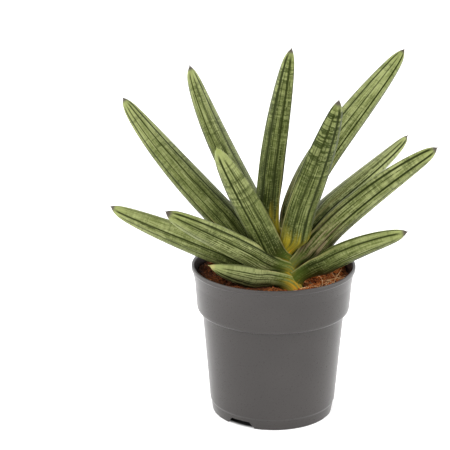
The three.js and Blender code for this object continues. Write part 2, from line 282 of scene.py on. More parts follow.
def add_mesh(name, points, faces, material, sharp_from=None):
    """A piece from points in millimetres, in that material, that goes with the body."""
    mesh = bpy.data.meshes.new(name)
    mesh.from_pydata([tuple(p) for p in np.asarray(points) * MILLIMETRE], [], faces)
    mesh.shade_smooth()
    if sharp_from is not None:
        mesh.set_sharp_from_angle(angle=math.radians(sharp_from))
    piece = bpy.data.objects.new(name, mesh)
    bpy.context.scene.collection.objects.link(piece)
    mesh.materials.append(material)
    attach(piece, "root")
    return piece


class Look:
    """A node material, built step by step on a Principled shader."""

    def __init__(self, name):
        self.material = bpy.data.materials.new(name)
        self.material.use_nodes = True
        self.tree = self.material.node_tree
        self.shader = self.tree.nodes["Principled BSDF"]

    def add(self, kind, inputs, output=0, **settings):
        """Adds a node, feeds its inputs by name or number, and gives one of its outputs."""
        node = self.tree.nodes.new("ShaderNode" + kind)
        for key, value in settings.items():
            setattr(node, key, value)
        for socket, value in inputs.items():
            self.feed(node.inputs[socket], value)
        return node.outputs[output]

    def feed(self, socket, value):
        if isinstance(value, bpy.types.NodeSocket):
            self.tree.links.new(value, socket)
        else:
            socket.default_value = value

    def set(self, **values):
        for name, value in values.items():
            self.feed(self.shader.inputs[name.replace("_", " ")], value)

    def math(self, operation, *values):
        return self.add("Math", dict(enumerate(values)), operation=operation)

    def fade(self, value, low, high):
        """0 below low and 1 above high, with a soft step between them; high may be the lower one."""
        inputs = {"Value": value, "From Min": low, "From Max": high}
        return self.add("MapRange", inputs, interpolation_type="SMOOTHSTEP")

    def product(self, first, *others):
        for other in others:
            first = self.math("MULTIPLY", first, other)
        return first

    def blend(self, share, a, b):
        """The colour between a, at a share of 0, and b, at a share of 1."""
        a, b = ((*color, 1) if isinstance(color, tuple) else color for color in (a, b))
        return self.add("Mix", {0: share, 6: a, 7: b}, output=2, data_type="RGBA")

    def place(self):
        """Where a point of the piece lies, in metres."""
        return self.add("TexCoord", {}, output="Object")

    def point(self, x, y, z):
        return self.add("CombineXYZ", {0: x, 1: y, 2: z})

    def axes(self, vector):
        outputs = self.add("SeparateXYZ", {0: vector}).node.outputs
        return [outputs[axis] for axis in "XYZ"]

    def from_axis(self, place):
        """How far a place is from the pot's upright axis."""
        across, back, _ = self.axes(place)
        squares = [self.math("POWER", side, 2) for side in (across, back)]
        return self.math("SQRT", self.math("ADD", *squares))

    def scaled(self, vector, *scale):
        return self.add("VectorMath", {0: vector, 1: scale}, operation="MULTIPLY")

    def noise(self, vector, scale, detail):
        return self.add("TexNoise", {"Vector": vector, "Scale": scale, "Detail": detail}, output="Fac")

    def white(self, whole, seed):
        """A random value of its own for each whole number."""
        return self.add("TexWhiteNoise", {"W": self.math("ADD", whole, seed)}, noise_dimensions="1D")

    def bump(self, height, strength, distance):
        """Fine relief, with its distance in millimetres."""
        inputs = {"Height": height, "Strength": strength, "Distance": distance * MILLIMETRE}
        self.feed(self.shader.inputs["Normal"], self.add("Bump", inputs))


def stem_axis(height):
    """The middle of the leaning stem at a height."""
    above = min(height, STEM_TOP) - STEM_SOIL
    return np.array([STEM_X + LEAN_X * above, STEM_Y + LEAN_Y * above, height])


def stem_radius(height):
    share = np.clip((height - STEM_SOIL) / (STEM_TOP - STEM_SOIL), 0, 1)
    return mix(STEM_RADIUS, STEM_TOP_RADIUS, share)


class Leaf:
    """One leaf: its middle line climbs the cup of its sheath, springs out of it and runs to the tip."""

    def __init__(self, name, index):
        self.name = name
        self.foot, self.azimuth, self.reach, self.height, self.rise, self.spring = LEAVES[name][:6]
        self.width, self.roll, self.taper = LEAVES[name][6:]
        self.opening = OPENING_RADII * stem_radius(self.foot)
        self.line, self.bands, self.dark, self.paling, self.yellow = LOOKS[name]
        self.random = random.Random(index + 1)
        angle = math.radians(self.azimuth)
        self.outward = np.array([math.cos(angle), math.sin(angle), 0])
        self.across = np.array([-math.sin(angle), math.cos(angle), 0])
        self.exit = self.foot + SHEATH_HEIGHT
        self.path = self.middle_line()
        steps = np.linalg.norm(np.diff(self.path, axis=0), axis=1)
        self.travel = np.concatenate([[0], np.cumsum(steps)])
        self.climbed = self.travel[1]
        self.total = self.travel[-1]
        self.length = self.total - self.climbed
        self.round = np.linspace(-180, 180, POINTS_AROUND, endpoint=False)
        self.on_back = np.abs(self.round) < 90
        self.lines = self.line_angles()

    def middle_line(self):
        """Straight up the sheath, then one curve that springs out of it and ends at the tip."""
        base = self.on_stem(self.foot)
        start = self.on_stem(self.exit)
        axis = stem_axis(self.exit)
        tip = np.array([axis[0], axis[1], self.height]) + self.outward * self.reach
        climb = (start - base) / np.linalg.norm(start - base)
        rise = math.radians(self.rise)
        tip_way = self.outward * math.cos(rise) + UP * math.sin(rise)
        span = np.linalg.norm(tip - start)
        handles = [start, start + climb * self.spring, tip - tip_way * TIP_HANDLE * span, tip]
        t = np.linspace(0, 1, PATH_POINTS)[:, None]
        weights = [(1 - t) ** 3, 3 * t * (1 - t) ** 2, 3 * t * t * (1 - t), t**3]
        return np.vstack([base, sum(weight * handle for weight, handle in zip(weights, handles))])

    def radius(self, height):
        """How far the sheath's inner side is from the stem's axis at a height."""
        return stem_radius(self.foot) + GAP + SHEATH_FLARE * (height - self.foot)

    def on_stem(self, height):
        return stem_axis(height) + self.outward * self.radius(height)

    def line_angles(self):
        """Where the main lines run, in degrees round from the middle of the back. Only the first keeps to its
        place exactly."""
        angles = []
        for k in range(360 // LINE_SPACING_DEGREES):
            wander = LINE_WANDER * self.random.uniform(-1, 1) * (k > 0)
            angles.append(self.line + LINE_SPACING_DEGREES * (k + wander))
        return sorted(float(degrees_apart(angle, 0)) for angle in angles)

    def at(self, travel):
        """The middle line's place and direction at a distance along it."""
        ends = [np.clip(travel + step, 0, self.total) for step in (-0.5, 0.5)]
        place, before, after = (
            np.array([np.interp(distance, self.travel, self.path[:, k]) for k in range(3)])
            for distance in (travel, *ends)
        )
        return place, (after - before) / np.linalg.norm(after - before)

    def blade_width(self, travel):
        """The width at a distance along the leaf: greatest at WIDEST, and pointed at the tip."""
        share = np.clip((travel - self.climbed) / self.length, 0, 1)
        from_tip = min((1 - share) / (1 - WIDEST), 1)
        towards_tip = math.sin(math.pi / 2 * from_tip) ** self.taper
        towards_base = mix(BASE_WIDTH, 1, smooth(share / WIDEST))
        ogive = 1 - math.exp(-(((1 - share) * self.length / TIP_OGIVE) ** OGIVE_POWER))
        return max(self.width * towards_tip * towards_base * ogive, TIP_LEAST)

    def sheath_outline(self, travel):
        """The section that clasps the stem, as distances across the leaf and towards its face."""
        side = np.where(self.on_back, self.round / 90, np.sign(self.round) * (180 - np.abs(self.round)) / 90)
        half = mix(SHEATH_THICKNESS, MARGIN_THICKNESS, side**2) / 2
        rounded = half * np.sqrt(1 - np.abs(side) ** SHEATH_SQUARENESS)
        outside = half + np.where(self.on_back, rounded, -rounded)
        radius = self.radius(self.foot + min(travel, self.climbed))
        clasp = np.radians(side * mix(CLASP_DEGREES, OPEN_DEGREES, smooth(travel / self.opening * 2)))
        return (radius + outside) * np.sin(clasp), radius - (radius + outside) * np.cos(clasp)

    def blade_outline(self, travel):
        """The section of the open blade, as distances across the leaf and towards its face."""
        width = self.blade_width(travel)
        full = smooth((travel - self.climbed) / self.length / WIDEST)
        depth = width * mix(BASE_DEPTH, BACK_DEPTH, full)
        bulge = width * mix(-FACE_HOLLOW, FACE_BULGE, full)
        edge = min(EDGE_THICKNESS, width / 3) / 2
        turn = np.radians(self.round)
        flat = np.abs(np.cos(turn))
        backwards = -depth * flat - edge * flat**EDGE_POWER
        forwards = bulge * flat + edge * flat**EDGE_POWER
        grooved = 1 - self.grooves(width) * min(1, width / GROOVED_FROM) / (width / 2)
        return width / 2 * np.sin(turn) * grooved, np.where(self.on_back, backwards, forwards) * grooved

    def grooves(self, width):
        """How deep the main lines are pressed in round the blade, in millimetres."""
        girth = width * GIRTH
        depth = np.zeros(POINTS_AROUND)
        for angle in self.lines:
            away = np.abs(degrees_apart(self.round, angle)) / 360 * girth
            depth += GROOVE_DEPTH * np.exp(-((away / GROOVE_WIDTH) ** 2))
        return depth

    def row(self, travel):
        """The points round the leaf at a distance along it, where the sheath opens into the blade."""
        middle, along = self.at(travel)
        facing = mix(UP, along, smooth(travel / TILTING))
        facing /= np.linalg.norm(facing)
        inward = np.cross(facing, self.across)
        opened = smooth(travel / self.opening)
        sheath, blade = self.sheath_outline(travel), self.blade_outline(travel)
        sideways, inwards = (mix(a, b, opened) for a, b in zip(sheath, blade))
        roll = math.radians(self.roll) * smooth((travel - self.climbed) / ROLLING)
        turned = math.cos(roll) * self.across + math.sin(roll) * inward
        faced = math.cos(roll) * inward - math.sin(roll) * self.across
        return middle + np.outer(sideways, turned) + np.outer(inwards, faced)

    def rows(self):
        """The rows of points from the foot almost to the tip, and how far along they lie."""
        shares = np.arange(ROWS) / ROWS
        distance = mix(shares, smooth(shares), ROW_EASING) * self.total
        return [self.row(travel) for travel in distance], list(distance)

    def build(self):
        """Joins the rows into one closed mesh that knows its strands, in place of the plain leaf."""
        rows, distance = self.rows()
        around = POINTS_AROUND
        tip, _ = self.at(self.total)
        points = np.vstack([*rows, tip])
        faces = []
        corners = []
        last = len(rows) - 1
        for r in range(last):
            for k in range(around):
                n = (k + 1) % around
                faces.append((r * around + k, r * around + n, (r + 1) * around + n, (r + 1) * around + k))
                corners += [(r, k), (r, k + 1), (r + 1, k + 1), (r + 1, k)]
        for k in range(around):
            faces.append((last * around + k, last * around + (k + 1) % around, len(points) - 1))
            corners += [(last, k), (last, k + 1), (last + 1, k)]

        # The foot is closed by strips from one margin to the other
        margin = around // 4
        for k in range(around // 2):
            ring = [margin + k, margin - k, margin - k - 1, margin + k + 1]
            ring = list(dict.fromkeys(point % around for point in ring))
            faces.append(tuple(ring))
            corners += [(0, point) for point in ring]
        piece = add_mesh(self.name + "_grown", points, faces, LeafLook(self).material, sharp_from=55)
        mesh = piece.data
        distance = np.array([*distance, self.total])
        strand = self.strands()
        rank = np.array([(strand[k], distance[r] / self.total) for r, k in corners])
        mesh.uv_layers.new(name="strands").data.foreach_set("uv", rank.ravel())
        widths = [self.blade_width(travel) for travel in distance]
        self.add_point_values(mesh, distance, widths)
        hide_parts(self.name)
        return piece

    def strands(self):
        """Counts the main lines round the leaf: each lies at a whole number, from the face's middle on."""
        angles = np.array([self.lines[-1] - 360, *self.lines, self.lines[0] + 360])
        ranks = np.arange(len(angles))
        return np.interp(np.linspace(-180, 180, POINTS_AROUND + 1), angles, ranks)

    def add_point_values(self, mesh, distance, widths):
        """Stores for each point where it lies on the leaf laid out straight, how wide the strip between two
        main lines is there (cell), and how far it is from the margin (rim)."""
        radians = np.radians(self.round)
        ring = np.stack([np.sin(radians), np.cos(radians)], axis=1) * self.width / WIDTHS_PER_RADIUS
        straight = [np.column_stack([ring, np.full(POINTS_AROUND, d)]) for d in distance[:-1]]
        straight = np.vstack([*straight, [0, 0, distance[-1]]])
        strand = self.strands()
        spread = np.gradient(strand)[:-1]
        girth = np.array(widths) * GIRTH
        cell = [g / POINTS_AROUND / spread for g in girth[:-1]]
        margin = np.abs(np.abs(self.round) - 90) / 360
        rim = [margin * g for g in girth[:-1]]
        values = {
            "straight": ("FLOAT_VECTOR", "vector", straight),
            "cell": ("FLOAT", "value", np.append(np.concatenate(cell), 1)),
            "rim": ("FLOAT", "value", np.append(np.concatenate(rim), 0)),
        }
        for name, (kind, field, data) in values.items():
            stored = mesh.attributes.new(name, kind, "POINT").data
            stored.foreach_set(field, np.ravel(data).astype(np.float32))


class LeafLook(Look):
    """The look of one leaf, painted from the ground colour up."""

    def __init__(self, leaf):
        super().__init__(leaf.name)
        self.leaf = leaf
        self.seed = leaf.random.uniform(0, 50)
        self.strand, self.along, _ = self.axes(self.add("UVMap", {}, uv_map="strands"))
        self.straight = self.add("Attribute", {}, output="Vector", attribute_name="straight")
        self.cell = self.add("Attribute", {}, output="Fac", attribute_name="cell")
        self.rim = self.add("Attribute", {}, output="Fac", attribute_name="rim")
        self.travel = self.math("MULTIPLY", self.along, leaf.total)
        self.to_tip = self.math("SUBTRACT", leaf.total, self.travel)
        self.streaks = self.noise(self.scaled(self.straight, 1.1, 1.1, 0.07), 1, 4)
        self.clouds = self.noise(self.scaled(self.straight, 0.14, 0.14, 0.07), 1, 3)
        self.thin = self.math("MULTIPLY", self.strand, THIN_LINES)
        self.strip = self.white(self.math("FLOOR", self.thin), self.seed + 3)
        self.clear = self.fade(self.travel, mix(2, 5, leaf.yellow), mix(8, 18, leaf.yellow))
        self.color = self.ground()
        self.paint_bands()
        self.paint_flecks()
        self.paint_thin_lines()
        self.paint_main_lines()
        if leaf.name in ROSY_LEAVES:
            self.paint(ROSY, self.fade(self.streaks, 0.42, 0.6), self.fade(self.travel, *ROSY_LENGTH), 0.6)
        self.paint_foot()
        self.paint(MARGIN, self.fade(self.rim, 0.8, 0.3), self.fade(self.along, 0.6, 0.15), 0.55)
        self.paint(PALE_POINTS.get(leaf.name, POINT), self.fade(self.to_tip, *POINT_LENGTH))
        roughness = self.math("MULTIPLY_ADD", self.clouds, 0.14, 0.38)
        self.set(Base_Color=self.color, Roughness=roughness)
        self.set(Specular_IOR_Level=0.11, Specular_Tint=(0.9, 0.95, 0.5, 1))
        self.bump(self.noise(self.scaled(self.straight, 2.2, 2.2, 0.7), 1, 2), 0.35, 0.25)

    def paint(self, color, *shares):
        """Lays a colour over what is there, as strongly as the product of the shares."""
        self.color = self.blend(self.product(*shares), self.color, color)

    def dashes(self, across, pace, detail):
        """Noise that changes along the leaf at that pace, and differs where the value across does."""
        place = self.point(across, self.math("MULTIPLY", self.travel, pace), self.seed)
        return self.noise(place, 1, detail)

    def nearest_line(self, ranks, spacing):
        """The number of the nearest line, where each lies at a whole rank, and how far away it is."""
        rank = self.math("ROUND", ranks)
        apart = self.math("ABSOLUTE", self.math("SUBTRACT", ranks, rank))
        return rank, self.math("MULTIPLY", apart, spacing)

    def ground(self):
        """The ground colour pales from the base to the tip and is streaked along the leaf."""
        clouded = self.math("MULTIPLY_ADD", self.clouds, 1.1, -0.45)
        paleness = self.math("ADD", self.math("MULTIPLY", self.along, self.leaf.paling), clouded)
        paleness = self.math("MULTIPLY_ADD", self.math("SUBTRACT", self.streaks, 0.5), 1.5, paleness)
        paleness = self.math("SUBTRACT", paleness, self.leaf.dark * 0.35)
        color = self.blend(self.fade(paleness, -0.1, 0.42), DEEP, SAGE)
        color = self.blend(self.fade(paleness, 0.3, 0.95), color, PALE)
        green = self.math("MULTIPLY", self.fade(self.to_tip, *GREEN_TIP), 0.5)
        return self.blend(green, color, TIP_GREEN)

    def paint_bands(self):
        """Cross bands in blocks between the main lines, broken up on each strip between two thin ones."""
        bands = self.leaf.bands
        block = self.white(self.math("FLOOR", self.strand), self.seed)
        wide = self.dashes(self.math("MULTIPLY", block, 0.8), 0.17, 2)
        wide = self.fade(wide, 0.53 - 0.13 * bands, 0.62 - 0.07 * bands)
        across = self.math("MULTIPLY_ADD", self.strip, 0.5, self.math("MULTIPLY", block, 9))
        narrow = self.fade(self.dashes(across, 0.42, 2), 0.44, 0.54)
        upper = self.math("MULTIPLY_ADD", self.fade(self.along, 0.45, 0.66), 0.8, 0.2)
        crowned = self.math("MULTIPLY", self.fade(self.along, 0.58, 0.68), max(0, 2 * bands - 1))
        wide = self.math("MAXIMUM", self.math("MULTIPLY", wide, upper), crowned)
        self.paint(PALE, wide, self.math("SUBTRACT", 1.0, narrow), 0.3 * bands)
        below_tip = self.fade(self.to_tip, 4, mix(26, 10, bands))
        above_foot = self.fade(self.travel, 12, 30)
        self.paint(BAND, wide, narrow, below_tip, above_foot, min(1, bands))

    def paint_flecks(self):
        """Short dashes across the strips: dark ones, closest on the lower half, and pale ones that are
        painted glints.
        """
        dark = self.fade(self.dashes(self.math("MULTIPLY", self.strip, 9), 1.1, 1), 0.52, 0.64)
        self.paint(BAND, dark, self.fade(self.along, 1.0, 0.35), 0.5)
        # Pale flecks: painted glints
        pale = self.fade(self.dashes(self.math("MULTIPLY", self.strip, 14), 1.7, 1), 0.56, 0.7)
        self.paint(PALE, pale, 0.4)

    def paint_thin_lines(self):
        """Thin, broken lines between the main ones, denser towards the base."""
        rank, away = self.nearest_line(self.thin, self.math("DIVIDE", self.cell, THIN_LINES))
        until = self.math("MULTIPLY_ADD", self.white(rank, self.seed), 0.95, 0.02)
        here = self.fade(self.math("SUBTRACT", until, self.along), -0.08, 0.12)
        whole = self.fade(self.noise(self.scaled(self.straight, 0.5, 0.5, 0.2), 1, 2), 0.3, 0.55)
        self.paint(LINE, self.fade(away, 0.42, 0.14), here, whole, self.clear, 0.85)

    def paint_main_lines(self):
        """The main lines run from just under the tip to the sheath, each with its own width and strength."""
        rank, away = self.nearest_line(self.strand, self.cell)
        chance = self.white(rank, self.seed + 7)
        start = self.math("MULTIPLY_ADD", chance, 7, 1)
        here = self.fade(self.math("SUBTRACT", self.to_tip, start), 0, 6)
        half = self.math("MULTIPLY_ADD", chance, -0.3, 0.56 + 0.25 * self.leaf.bands)
        line = self.fade(self.math("SUBTRACT", away, half), 0.16, -0.12)
        self.paint(LINE, line, here, self.clear, self.math("MULTIPLY_ADD", chance, -0.3, 1.0))

    def paint_foot(self):
        """The sheath is a smooth green that turns yellow and orange at its foot, with a ragged border."""
        yellow = self.leaf.yellow
        self.paint(SHEATH, self.fade(self.travel, *SHEATH_LENGTH), 0.6)
        ragged = self.math("MULTIPLY_ADD", self.math("SUBTRACT", self.streaks, 0.5), 34, self.travel)
        ragged = self.math("MULTIPLY_ADD", self.math("SUBTRACT", self.strip, 0.5), 16 * yellow, ragged)
        lower = self.fade(ragged, mix(3, 42, yellow), mix(-2, 4, yellow))
        self.paint(YELLOW, lower, min(0.85, 2.2 * yellow))
        self.paint(ORANGE, self.fade(ragged, 8, -3), min(1, 2.5 * yellow))


def revolve(profile, sides):
    """A body of revolution from (radius, height) pairs that start and end on the axis."""
    points = [(0, 0, profile[0][1])]
    faces = []
    inner = profile[1:-1]
    for radius, height in inner:
        points += [(radius * math.cos(turn), radius * math.sin(turn), height) for turn in turns(sides)]
    points.append((0, 0, profile[-1][1]))
    for k in range(sides):
        n = (k + 1) % sides
        faces.append((0, 1 + n, 1 + k))
        for r in range(len(inner) - 1):
            a = 1 + r * sides
            faces.append((a + k, a + n, a + sides + n, a + sides + k))
        top = 1 + (len(inner) - 1) * sides
        faces.append((top + k, top + n, len(points) - 1))
    return points, faces


def rounded(profile, radius, steps=4):
    """The profile with each corner eased by a curve that starts a radius away from it, or nearer on a short
    side."""
    eased = [profile[0]]
    for before, corner, after in zip(profile, profile[1:], profile[2:]):
        before, corner, after = (np.array(p, float) for p in (before, corner, after))
        ends = []
        for end in (before, after):
            way = end - corner
            ends.append(corner + way * min(0.45, radius / np.linalg.norm(way)))
        for t in np.linspace(0, 1, steps):
            eased.append(tuple((1 - t) ** 2 * ends[0] + 2 * t * (1 - t) * corner + t * t * ends[1]))
    return [*eased, profile[-1]]


# The pot's wall as (radius, height) pairs: up the outside with its ledge and lip, then down the inside
POT_OUTSIDE = [
    (FOOT_RADIUS, 0),
    (FOOT_RADIUS + 0.8, BODY_FOOT_HEIGHT - 1.5),
    (BODY_FOOT_RADIUS, BODY_FOOT_HEIGHT),
    (BODY_TOP_RADIUS, BODY_TOP_HEIGHT),
    (BODY_TOP_RADIUS + 0.5, COLLAR_FOOT_HEIGHT - 2.0),
    (COLLAR_FOOT_RADIUS - 1.3, COLLAR_FOOT_HEIGHT - 1.3),
    (COLLAR_FOOT_RADIUS - 0.3, COLLAR_FOOT_HEIGHT),
    (COLLAR_FOOT_RADIUS + 0.1, COLLAR_FOOT_HEIGHT + 2.2),
    (COLLAR_TOP_RADIUS, POT_HEIGHT - LIP_HEIGHT - 6),
    (RIM_RADIUS - 1, POT_HEIGHT - 3.8),
    (RIM_RADIUS - 0.1, POT_HEIGHT - 3.2),
    (RIM_RADIUS, POT_HEIGHT - 1.2),
    (RIM_RADIUS - 0.3, POT_HEIGHT - 0.4),
    (RIM_RADIUS - 1.1, POT_HEIGHT),
]
POT_INSIDE = [
    (RIM_RADIUS - 2, POT_HEIGHT - 0.6),
    (COLLAR_TOP_RADIUS - WALL, POT_HEIGHT - LIP_HEIGHT),
    (COLLAR_FOOT_RADIUS - WALL, COLLAR_FOOT_HEIGHT + 0.6),
    (BODY_TOP_RADIUS - WALL, COLLAR_FOOT_HEIGHT - 3),
    (BODY_FOOT_RADIUS - WALL, BODY_FOOT_HEIGHT),
    (BODY_FOOT_RADIUS - WALL - 1.2, FLOOR_HEIGHT + WALL),
]


def loose_object(name, points, faces):
    """A shape that is only cut with, from points in millimetres."""
    mesh = bpy.data.meshes.new(name)
    mesh.from_pydata([tuple(np.array(p) * MILLIMETRE) for p in points], [], faces)
    tool = bpy.data.objects.new(name, mesh)
    bpy.context.scene.collection.objects.link(tool)
    return tool


def cut(piece, tools):
    """Takes the tools' shapes out of the piece and removes the tools."""
    for tool in tools:
        modifier = piece.modifiers.new("cut", "BOOLEAN")
        modifier.operation = "DIFFERENCE"
        modifier.solver = "EXACT"
        modifier.object = tool
    graph = bpy.context.evaluated_depsgraph_get()
    graph.update()
    mesh = bpy.data.meshes.new_from_object(piece.evaluated_get(graph))
    piece.modifiers.clear()
    piece.data = mesh
    for tool in tools:
        bpy.data.objects.remove(tool)


def cutout_tool(degrees):
    """A trapezoid that reaches through the foot ring."""
    below = 1
    reach = 6
    wide = CUTOUT_WIDE / 2 + (CUTOUT_WIDE - CUTOUT_NARROW) / 2 * below / CUTOUT_HEIGHT
    narrow = CUTOUT_NARROW / 2
    outline = [(-wide, -below), (wide, -below), (narrow, CUTOUT_HEIGHT), (-narrow, CUTOUT_HEIGHT)]
    angle = math.radians(degrees)
    points = []
    for distance in (FOOT_RADIUS - reach, FOOT_RADIUS + reach):
        for side, height in outline:
            x = distance * math.cos(angle) - side * math.sin(angle)
            y = distance * math.sin(angle) + side * math.cos(angle)
            points.append((x, y, height))
    faces = [(3, 2, 1, 0), (4, 5, 6, 7), (0, 1, 5, 4), (1, 2, 6, 5), (2, 3, 7, 6), (3, 0, 4, 7)]
    return loose_object("cutout_tool", points, faces)


def drain_tool(index):
    """A round post that reaches through the pot's floor."""
    angle = math.radians(360 / DRAINS * (index + 0.5))
    base = FLOOR_HEIGHT - WALL
    top = base + 4 * WALL
    points, faces = revolve([(0, base), (DRAIN_RADIUS, base), (DRAIN_RADIUS, top), (0, top)], DRAIN_SIDES)
    middle_x, middle_y = DRAIN_CIRCLE * math.cos(angle), DRAIN_CIRCLE * math.sin(angle)
    return loose_object("drain_tool", [(x + middle_x, y + middle_y, z) for x, y, z in points], faces)


def pot_look():
    look = Look("pot_plastic")
    place = look.place()
    cloudy = look.noise(place, 18, 2)
    fine = look.noise(place, 1400, 2)
    color = look.blend(look.fade(cloudy, 0.3, 0.7), *POT_GREYS)

    # Painted shade darkens the inner side of the wall from the coir up to an uneven line under the lip
    height = look.axes(place)[2]
    wall_middle = look.math("MULTIPLY_ADD", height, WALL_SLOPE, WALL_START)
    from_middle = look.math("SUBTRACT", look.from_axis(place), wall_middle)
    inner_side = look.fade(from_middle, 0.0003, -0.0003)
    above_coir = look.fade(height, *PAINTED_SHADE_FROM)
    under_lip = look.fade(look.math("MULTIPLY_ADD", cloudy, 0.002, height), *PAINTED_SHADE_UP_TO)
    color = look.blend(look.product(inner_side, above_coir, under_lip), color, INNER_WALL_PAINTED_SHADE)
    roughness = look.math("MULTIPLY_ADD", fine, 0.10, 0.24)
    look.set(Base_Color=color, Roughness=roughness, Specular_IOR_Level=0.3)
    look.bump(fine, 0.12, 0.05)
    return look.material


def build_pot():
    outline = rounded([
        (0, FLOOR_HEIGHT),
        (FOOT_RADIUS - FOOT_RING - 1, FLOOR_HEIGHT),
        (FOOT_RADIUS - FOOT_RING, 0),
        *POT_OUTSIDE,
        *POT_INSIDE,
        (0, FLOOR_HEIGHT + WALL),
    ], CORNER_EASE)
    points, faces = revolve(outline, POT_SIDES)
    pot = add_mesh("pot_moulding", points, faces, pot_look())
    tools = [cutout_tool(FIRST_CUTOUT_DEGREES + 360 / CUTOUTS * k) for k in range(CUTOUTS)]
    tools += [drain_tool(k) for k in range(DRAINS)]
    cut(pot, tools)
    pot.data.shade_smooth()
    pot.data.set_sharp_from_angle(angle=math.radians(40))
    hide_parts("pot")


def coir_level(x, y):
    """The coir's height without clumps and lumps: it dips round the stem and rises to the back and left."""
    root = stem_axis(STEM_SOIL)
    away = math.hypot(x - root[0], y - root[1])
    dip = COIR_DIP * math.exp(-((away / COIR_DIP_RADIUS) ** 2))
    bumps = math.sin(0.21 * x + 1.1) * math.cos(0.17 * y - 0.4) + 0.6 * math.sin(0.37 * x - 0.29 * y)
    return COIR_LEVEL - dip + COIR_BACK_RISE * y - COIR_LEFT_RISE * x + COIR_BUMP * bumps


def coir_surface(x, y):
    """The coir's own height, with its clumps and the smaller lumps on them."""
    clumps = noise.fractal(Vector((x * 0.12, y * 0.12, 3.0)), 1.0, 2.0, 3)
    lumps = noise.fractal(Vector((x * 0.5, y * 0.5, 9.0)), 0.8, 2.0, 2)
    return coir_level(x, y) + CLUMP_HEIGHT * clumps + LUMP_HEIGHT * lumps


def room_under_leaves(pieces):
    """A function that gives how high something may reach at a place before it meets a leaf."""
    graph = bpy.context.evaluated_depsgraph_get()
    trees = [BVHTree.FromObject(piece, graph) for piece in pieces]

    def room(x, y):
        start = Vector((x, y, COIR_LEVEL - PROBE_BELOW)) * MILLIMETRE
        found = [tree.ray_cast(start, Vector(UP), PROBE_HEIGHT * MILLIMETRE)[0] for tree in trees]
        heights = [hit.z / MILLIMETRE for hit in found if hit]
        return min(heights, default=COIR_LEVEL - PROBE_BELOW + PROBE_HEIGHT)

    return room


def coir_look(name, browns, relief, with_painted_shade=True):
    """Streaked browns; with painted shade, also darker at the left, in small spots standing for hollows and
    near the wall: all three are painted shade.
    """
    look = Look(name)
    place = look.place()
    clumps = look.noise(place, 160, 3)
    strands = look.noise(look.scaled(place, 1, 0.35, 1), 1600, 3)
    share = look.math("MULTIPLY_ADD", look.math("SUBTRACT", strands, 0.5), 1.2, clumps)
    if not with_painted_shade:
        look.set(Base_Color=look.blend(look.fade(share, 0.3, 0.7), *browns), Roughness=0.8)
        return look.material
    # Painted shade at the left: the coir is darker there and paler to the right
    clear_of_left_shade = look.fade(look.axes(place)[0], *PAINTED_SHADE_LEFT_FADE)
    share = look.math("ADD", share, look.math("MULTIPLY_ADD", clear_of_left_shade, 0.45, -0.36))
    color = look.blend(look.fade(share, 0.32, 0.72), *browns)
    # Painted shade in small dark spots that stand for hollows
    painted_shade = tuple(part * 0.2 for part in browns[0])
    color = look.blend(look.fade(look.noise(place, 420, 2), 0.5, 0.68), color, painted_shade)
    # Painted shade near the pot's wall
    wall_painted_shade = look.fade(look.from_axis(place), *PAINTED_SHADE_NEAR_WALL)
    color = look.blend(look.math("MULTIPLY", wall_painted_shade, 0.85), color, painted_shade)
    roughness = look.math("MULTIPLY_ADD", strands, 0.1, 0.86)
    look.set(Base_Color=color, Roughness=roughness, Specular_IOR_Level=0.2)
    look.bump(strands, 0.8, relief)
    return look.material


def build_coir(room):
    """The plug: a rough top that dips under the leaves, a side along the pot's wall, and a flat bottom. It
    has no hole, so the stem and a little of the two lowest sheaths lie inside it."""
    outer = COLLAR_TOP_RADIUS - WALL - GAP - 0.3
    sides = COIR_SIDES
    wall = list(reversed(POT_INSIDE[2:]))
    side = [(radius - GAP, height + (GAP if i == 0 else 0)) for i, (radius, height) in enumerate(wall)]
    rings = [(outer * r / COIR_RINGS, None) for r in range(1, COIR_RINGS + 1)] + side[::-1]
    points = [(0, 0, min(coir_surface(0, 0), room(0, 0) - UNDER_LEAVES))]
    for radius, height in rings:
        for turn in turns(sides):
            x, y = radius * math.cos(turn), radius * math.sin(turn)
            top = min(coir_surface(x, y), room(x, y) - UNDER_LEAVES) if height is None else height
            points.append((x, y, top))
    points.append((0, 0, side[0][1]))
    faces = []
    for k in range(sides):
        n = (k + 1) % sides
        faces.append((0, 1 + k, 1 + n))
        for r in range(len(rings) - 1):
            a = 1 + r * sides
            faces.append((a + k, a + sides + k, a + sides + n, a + n))
        bottom = 1 + (len(rings) - 1) * sides
        faces.append((bottom + k, len(points) - 1, bottom + n))
    coir = add_mesh("coir_plug", points, faces, coir_look("coir", PLUG_BROWNS, 0.6))
    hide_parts("substrate")


def add_tube(points, faces, path, radius, sides=4):
    """Adds a thin tapered tube along a path to the lists."""
    path = [Vector(p) for p in path]
    first = len(points)
    for i, p in enumerate(path):
        way = (path[min(i + 1, len(path) - 1)] - path[max(i - 1, 0)]).normalized()
        side = way.orthogonal().normalized()
        other = way.cross(side)
        thick = radius * (1 - 0.75 * abs(2 * i / (len(path) - 1) - 1) ** 3)
        for turn in turns(sides):
            points.append(tuple(p + side * thick * math.cos(turn) + other * thick * math.sin(turn)))
    for i in range(len(path) - 1):
        for k in range(sides):
            a = first + i * sides + k
            b = first + i * sides + (k + 1) % sides
            faces.append((a, b, b + sides, a + sides))
    faces.append(tuple(first + k for k in reversed(range(sides))))
    last = first + (len(path) - 1) * sides
    faces.append(tuple(last + k for k in range(sides)))


